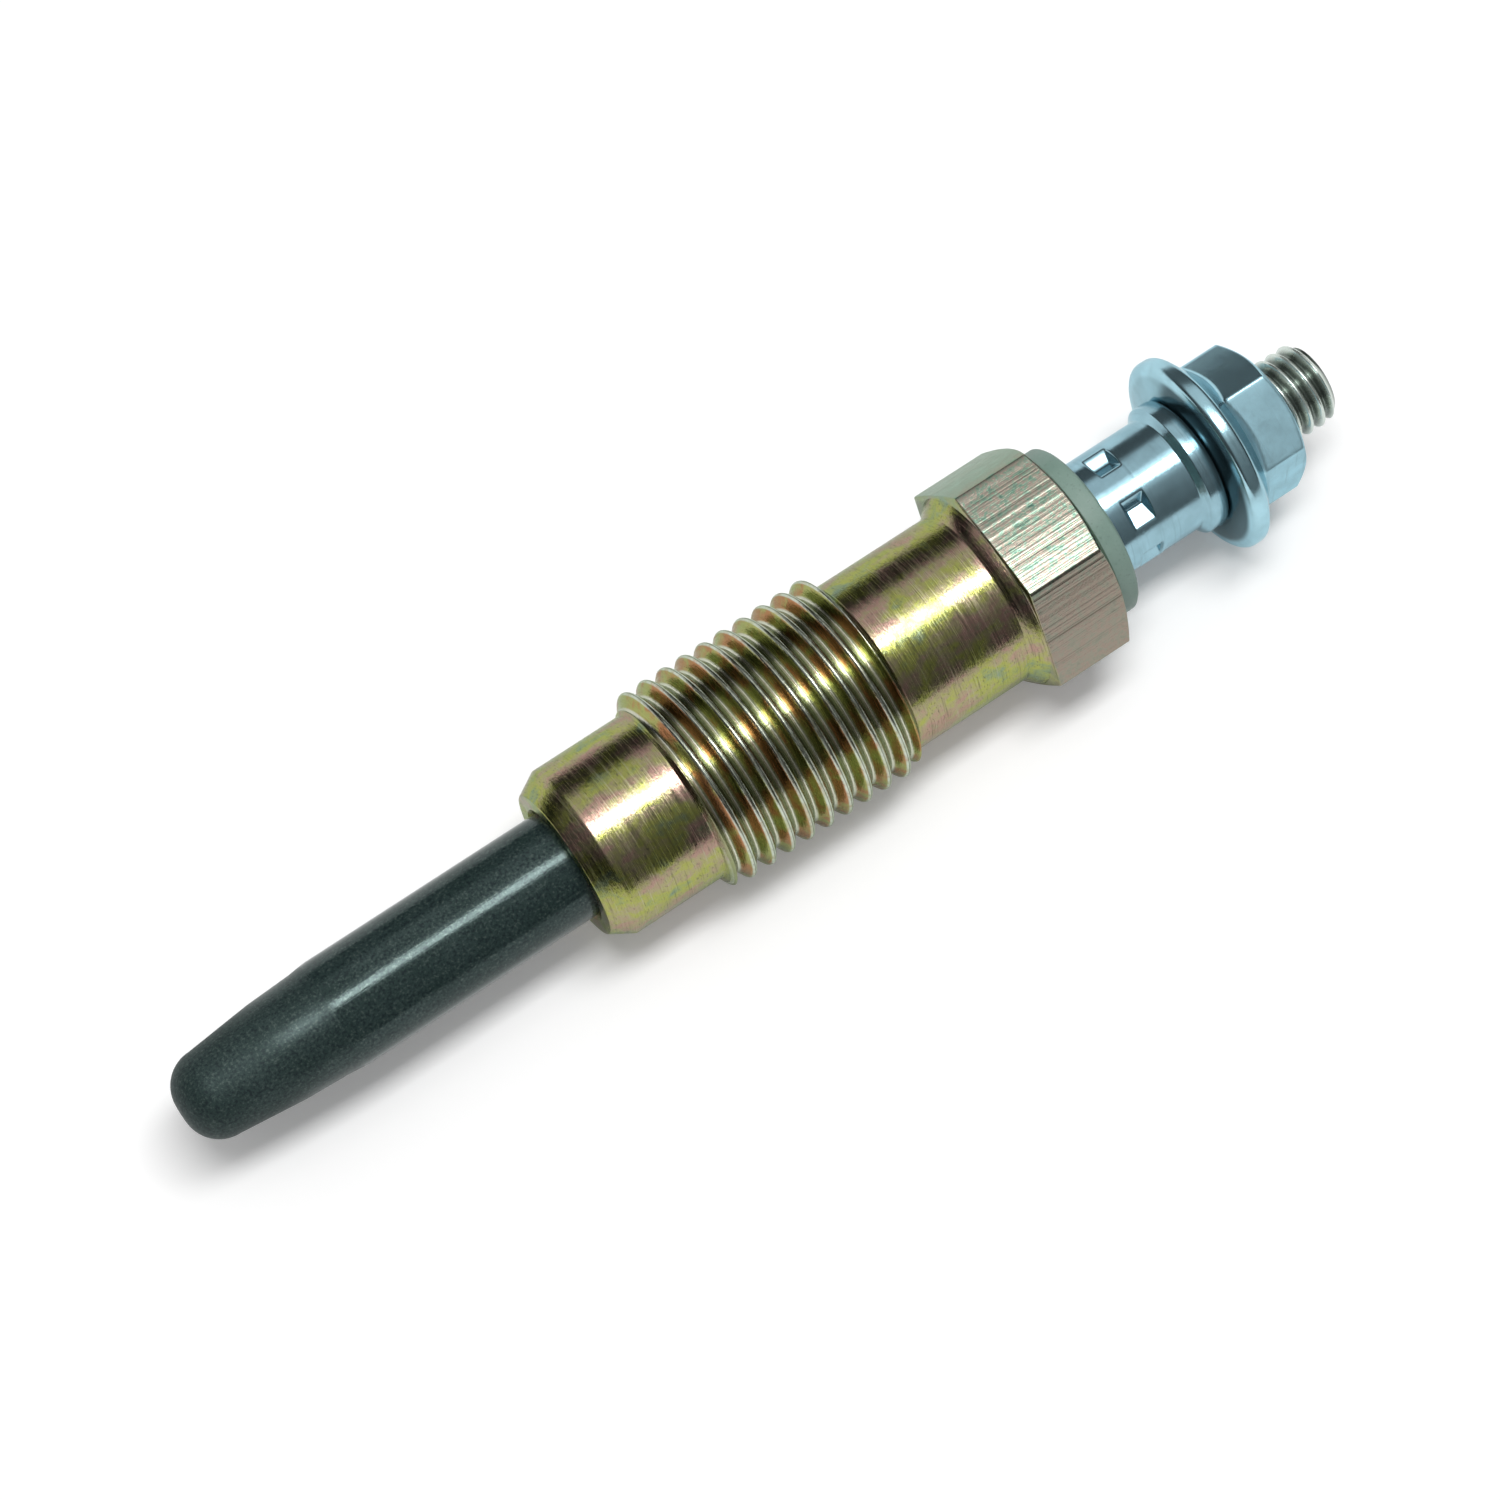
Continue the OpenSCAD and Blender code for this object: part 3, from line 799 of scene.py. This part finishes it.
def threaded_pin():
    """Centre rod with its thin front end, its shoulder and the threaded stud."""
    end_r = STUD_R - STUD_CHAMFER
    skin = Skin(even_angles(PIN_SIDES))
    skin.pole(ROD_TIP_X)
    skin.rings(rounded([
        (ROD_TIP_X, POLE_R, 0),
        (ROD_TIP_X, ROD_TIP_R, EDGE),
        (TUBE_END_X, ROD_TIP_R, EDGE),
        (TUBE_END_X, ROD_R, EDGE),
        (SPIGOT_X, ROD_R, EDGE),
        (SPIGOT_X, STUD_R, EDGE),
        (STUD_THREAD_X - RING_GAP, STUD_R, 0),
    ]))

    def thread_radius(x, off):
        depth = min(max((x - STUD_THREAD_X) / STUD_RUNOUT, 0), 1)
        form = STUD_R + (thread_form(STUD_R, STUD_PITCH, off) - STUD_R) * depth
        return min(form, end_r + max(STUD_END_X - x, 0))

    skin.thread(STUD_PITCH, 0, STUD_THREAD_X, STUD_END_X - FACE_GAP, thread_radius)
    skin.rings([(STUD_END_X, end_r - FACE_GAP), (STUD_END_X, POLE_R)])
    skin.pole(STUD_END_X)
    skin.piece("threaded_pin", "terminal_pin", pin_metal())


def insulator():
    """Flanged washer with its spigot."""
    seam_x = SPIGOT_X + SEAM_DEPTH
    spigot_r = COUNTERBORE_R - SPIGOT_CLEARANCE
    skin = Skin(even_angles(WASHER_SIDES))
    skin.rings(rounded([
        (seam_x, STUD_HOLE_R, 0),
        (SPIGOT_X, STUD_HOLE_R, EDGE),
        (SPIGOT_X, spigot_r, EDGE),
        (REAR_X, spigot_r, FINE_EDGE),
        (REAR_X, WASHER_R, SMALL_EDGE),
        (SLEEVE_X - WASHER_BEVEL, WASHER_R, EDGE),
        (SLEEVE_X, WASHER_R - WASHER_BEVEL, EDGE),
        (SLEEVE_X, STUD_HOLE_R, FINE_EDGE),
        (seam_x + SEAM_GAP, STUD_HOLE_R, 0),
    ]))
    skin.close()
    skin.piece("insulator", "insulating_washer", washer_plastic())


def crimped_sleeve():
    """Sleeve with a ring of pressed dents and a collar with a rounded rear edge."""
    seam_x = SLEEVE_X + SEAM_DEPTH
    collar_x = NUT_X - COLLAR_LEN
    crimp_x = SLEEVE_X + CRIMP_POS
    crease_r = SLEEVE_R - CRIMP_DEPTH
    wall = math.tan(math.radians(CRIMP_WALL_ANGLE))
    step = 360 / CRIMP_COUNT
    reach = CRIMP_LEN / 2 + CRIMP_DEPTH / wall + CRIMP_MARGIN

    def dented(x):
        wall_r = crease_r + wall * (abs(x - crimp_x) - CRIMP_LEN / 2)

        def radius(angle):
            # The dents are turned about the axis from +Z towards -Y, and their wide side comes last
            off = math.radians((angle - 90 - CRIMP_TURN + step / 2) % step - step / 2)
            slope = math.radians(CRIMP_SLOPE if off > 0 else CRIMP_STEEP)
            side_r = crease_r * math.cos(slope) / math.cos(abs(off) + slope)
            dent_r = soft_max(side_r, wall_r / math.cos(off), CRIMP_CREASE_SOFT)
            return soft_min(SLEEVE_R, dent_r, CRIMP_RIM_SOFT)
        return radius

    skin = Skin(even_angles(SLEEVE_SIDES))
    skin.rings(rounded([
        (seam_x, STUD_HOLE_R, 0),
        (SLEEVE_X, STUD_HOLE_R, SMALL_EDGE),
        (SLEEVE_X, SLEEVE_R, EDGE),
        (crimp_x - reach - RING_GAP, SLEEVE_R, 0),
    ]))
    for x in spread(crimp_x - reach, crimp_x + reach, 48):
        skin.ring(x, dented(x))
    skin.rings(rounded([
        (crimp_x + reach + RING_GAP, SLEEVE_R, 0),
        (collar_x - COLLAR_CONE_LEN, SLEEVE_R, COLLAR_NECK_ROUND),
        (collar_x, COLLAR_R, EDGE),
        (NUT_X, COLLAR_R, COLLAR_ROUND),
        (NUT_X, STUD_HOLE_R, SMALL_EDGE),
        (seam_x + SEAM_GAP, STUD_HOLE_R, 0),
    ], steps=6))
    skin.close()
    skin.piece("crimped_sleeve", "terminal_sleeve", sleeve_zinc())


def hexagon_nut():
    """Flange nut: bearing face, rim, sloping back, and a hexagon with a turned chamfer."""
    seam_x = NUT_X + SEAM_DEPTH
    mouth_r = STUD_HOLE_R + NUT_COUNTERSINK
    slope = math.tan(math.radians(FLANGE_ANGLE))
    chamfer = math.tan(math.radians(NUT_CHAMFER_ANGLE))
    # How far in from the rim the sloping back starts to be shaped by the hexagon
    plain_back = 0.4
    skin = Skin(hexagon_angles(NUT_TURN))
    skin.rings(rounded([
        (seam_x, STUD_HOLE_R, 0),
        (NUT_X + NUT_COUNTERSINK, STUD_HOLE_R, 0),
        (NUT_X, mouth_r, FINE_EDGE),
        (NUT_X, BEARING_R, EDGE),
        (NUT_X + BEARING_CONE_LEN, FLANGE_R, FLANGE_FRONT_ROUND),
        (RIM_X, FLANGE_R, FLANGE_BACK_ROUND),
        (RIM_X + plain_back * slope, FLANGE_R - plain_back, 0),
    ]))

    def outside(angle):
        return hexagon_radius(angle, NUT_TURN, NUT_AF, NUT_CORNER_ROUND, NUT_CROWN)

    # Rings stand close where the back meets the flats and at the chamfer, and apart in between
    flats_x = RIM_X + (FLANGE_R - NUT_AF / 2) * slope + 0.25
    chamfer_x = TOP_X - chamfer_length(NUT_AF, NUT_FACE_R, chamfer) - 2 * RING_GAP
    stations = spread(RIM_X + (plain_back + RING_GAP) * slope, flats_x, 22)
    stations += spread(flats_x + 3 * RING_GAP, chamfer_x - RING_GAP, 5)
    stations += spread(chamfer_x, TOP_X - FACE_GAP, 14)
    for x in stations:
        back_r = FLANGE_R - (x - RIM_X) / slope
        cone_r = NUT_FACE_R + (TOP_X - x) / chamfer

        def radius(angle):
            hexagon_r = soft_min(outside(angle), cone_r, NUT_CHAMFER_SOFT)
            return soft_max(hexagon_r, back_r, FLANGE_BACK_SOFT)
        skin.ring(x, radius)
    skin.rings(rounded([
        (TOP_X, NUT_FACE_R - FACE_GAP, 0),
        (TOP_X, mouth_r, FINE_EDGE),
        (TOP_X - NUT_COUNTERSINK, STUD_HOLE_R, 0),
        (seam_x + SEAM_GAP, STUD_HOLE_R, 0),
    ]))
    skin.close()
    skin.piece("hexagon_nut", "flange_nut", nut_zinc())


threaded_shell()
sheath_tube()
threaded_pin()
insulator()
crimped_sleeve()
hexagon_nut()

# The pieces inside keep the shapes of the CAD nodes
rubber = seal_rubber()
inner_finishes = {
    "heating_coil": drawn_wire("heating_wire", (0.42, 0.39, 0.34)),
    "control_coil": drawn_wire("control_wire", (0.5, 0.5, 0.5)),
    "filling_powder": packed_powder(),
    "tube_seal": rubber,
    "shell_seal": rubber,
}
for node, material in inner_finishes.items():
    for slot in frame["nodes"][node].material_slots:
        slot.material = material


# Studio, in metres and degrees

CENTRE = (cad_box[0] + cad_box[1]) / 2
FLOOR_Z = shell_low.z * MM
FLOOR_HALF = 6
# Light that the floor adds to what the lamps give it, near the plug and far from it
FLOOR_GLOW = 0.17
FAR_GLOW = 0.5
GLOW_NEAR = 0.12
GLOW_FAR = 0.7
# Angle round the axis from straight up towards +Y, and the room's brightness there
ROOM_LEVELS = [
    (-100, 0.7), (-90, 0.1), (-55, 0.18), (-28, 0.32), (-12, 0.75),
    (44, 0.75), (58, 0.05), (86, 0.05), (96, 0.7),
]
# Share of the brightness that is left towards the plug's ends
ROOM_END_LEVEL = 0.08
CAMERA_AZIMUTH = -34.9
CAMERA_ELEVATION = 68.7
CAMERA_DISTANCE = 0.24
# Where the camera aims, from the plug's centre
CAMERA_AIM = Vector((-1.15, -0.25, 0)) * MM


def floor():
    """Wide pale floor just under the plug. It glows a little, to the camera and in reflections,
    and more where the lamps don't reach."""
    mesh = bpy.data.meshes.new("floor")
    corners = [(-FLOOR_HALF, -FLOOR_HALF), (FLOOR_HALF, -FLOOR_HALF)]
    corners += [(FLOOR_HALF, FLOOR_HALF), (-FLOOR_HALF, FLOOR_HALF)]
    mesh.from_pydata([(x, y, FLOOR_Z) for x, y in corners], [], [(0, 1, 2, 3)])
    obj = bpy.data.objects.new("floor", mesh)
    bpy.context.scene.collection.objects.link(obj)
    material = bpy.data.materials.new("floor")
    mesh.materials.append(material)
    nodes = Nodes(material)
    place = nodes.add("ShaderNodeNewGeometry", {}).outputs["Position"]
    reach = nodes.add("ShaderNodeVectorMath", {0: place}, operation="LENGTH").outputs["Value"]
    level = nodes.remap(reach, GLOW_NEAR, GLOW_FAR, FLOOR_GLOW, FAR_GLOW, "LINEAR")
    rays = nodes.add("ShaderNodeLightPath", {}).outputs
    seen = rays["Is Camera Ray"]
    for kind in ("Is Glossy Ray", "Is Transmission Ray"):
        seen = nodes.calc("MAXIMUM", seen, rays[kind])
    nodes.fill(nodes.tree.nodes["Principled BSDF"], {
        "Base Color": (0.92, 0.92, 0.92, 1),
        "Roughness": 0.9,
        "Specular IOR Level": 0.1,
        "Emission Color": (1, 1, 1, 1),
        "Emission Strength": nodes.calc("MULTIPLY", seen, level),
    })


def lamp(name, lean, along, distance, width, length, power):
    """Soft rectangular lamp over the plug, with its length along the axis. lean is its angle from
    the vertical towards -Y, and along its angle towards +X."""
    light = bpy.data.lights.new(name, "AREA")
    light.shape = "RECTANGLE"
    light.size, light.size_y = length, width
    light.energy = power
    obj = bpy.data.objects.new(name, light)
    a, b = math.radians(lean), math.radians(along)
    way = Vector((math.sin(b), -math.sin(a) * math.cos(b), math.cos(a) * math.cos(b)))
    obj.location = CENTRE + way * distance
    obj.rotation_mode = "YXZ"
    obj.rotation_euler = (a, b, 0)
    bpy.context.scene.collection.objects.link(obj)


def world():
    """Room round the table: brighter behind the plug than in front, dark near the horizon and
    towards the plug's ends."""
    room = bpy.data.worlds.new("room")
    bpy.context.scene.world = room
    nodes = Nodes(room)
    place = nodes.add("ShaderNodeTexCoord", {}).outputs["Generated"]
    x, y, z = nodes.add("ShaderNodeSeparateXYZ", {"Vector": place}).outputs
    turn = nodes.remap(nodes.calc("ARCTAN2", y, z), -math.pi, math.pi, kind="LINEAR")
    stops = [(0.5 + angle / 360, (level, level, level)) for angle, level in ROOM_LEVELS]
    light = nodes.ramp(turn, stops, "EASE")
    ends = nodes.remap(nodes.calc("ABSOLUTE", x), 0.4, 0.75, 1.0, ROOM_END_LEVEL)
    dimmed = nodes.add("ShaderNodeVectorMath", {0: light, "Scale": ends}, operation="SCALE").outputs[0]
    nodes.fill(nodes.tree.nodes["Background"], {"Color": dimmed})


def camera():
    """Looks down on the plug's middle from in front, with the tip nearer than the stud."""
    azimuth, elevation = math.radians(CAMERA_AZIMUTH), math.radians(CAMERA_ELEVATION)
    back = Vector((
        math.sin(azimuth) * math.cos(elevation),
        -math.cos(azimuth) * math.cos(elevation),
        math.sin(elevation),
    ))
    data = bpy.data.cameras.new("camera")
    data.sensor_width = 36
    data.lens = 108
    data.clip_start = 0.01
    obj = bpy.data.objects.new("camera", data)
    obj.location = CENTRE + CAMERA_AIM + back * CAMERA_DISTANCE
    obj.rotation_mode = "QUATERNION"
    obj.rotation_quaternion = (-back).to_track_quat("-Z", "Y")
    bpy.context.scene.collection.objects.link(obj)
    bpy.context.scene.camera = obj


floor()
lamp("overhead", lean=1.5, along=4, distance=0.45, width=0.1, length=0.3, power=1.15)
lamp("diffuser", lean=-3, along=4, distance=0.46, width=0.22, length=0.3, power=0.25)
world()
camera()
bpy.context.scene.view_settings.view_transform = "Standard"
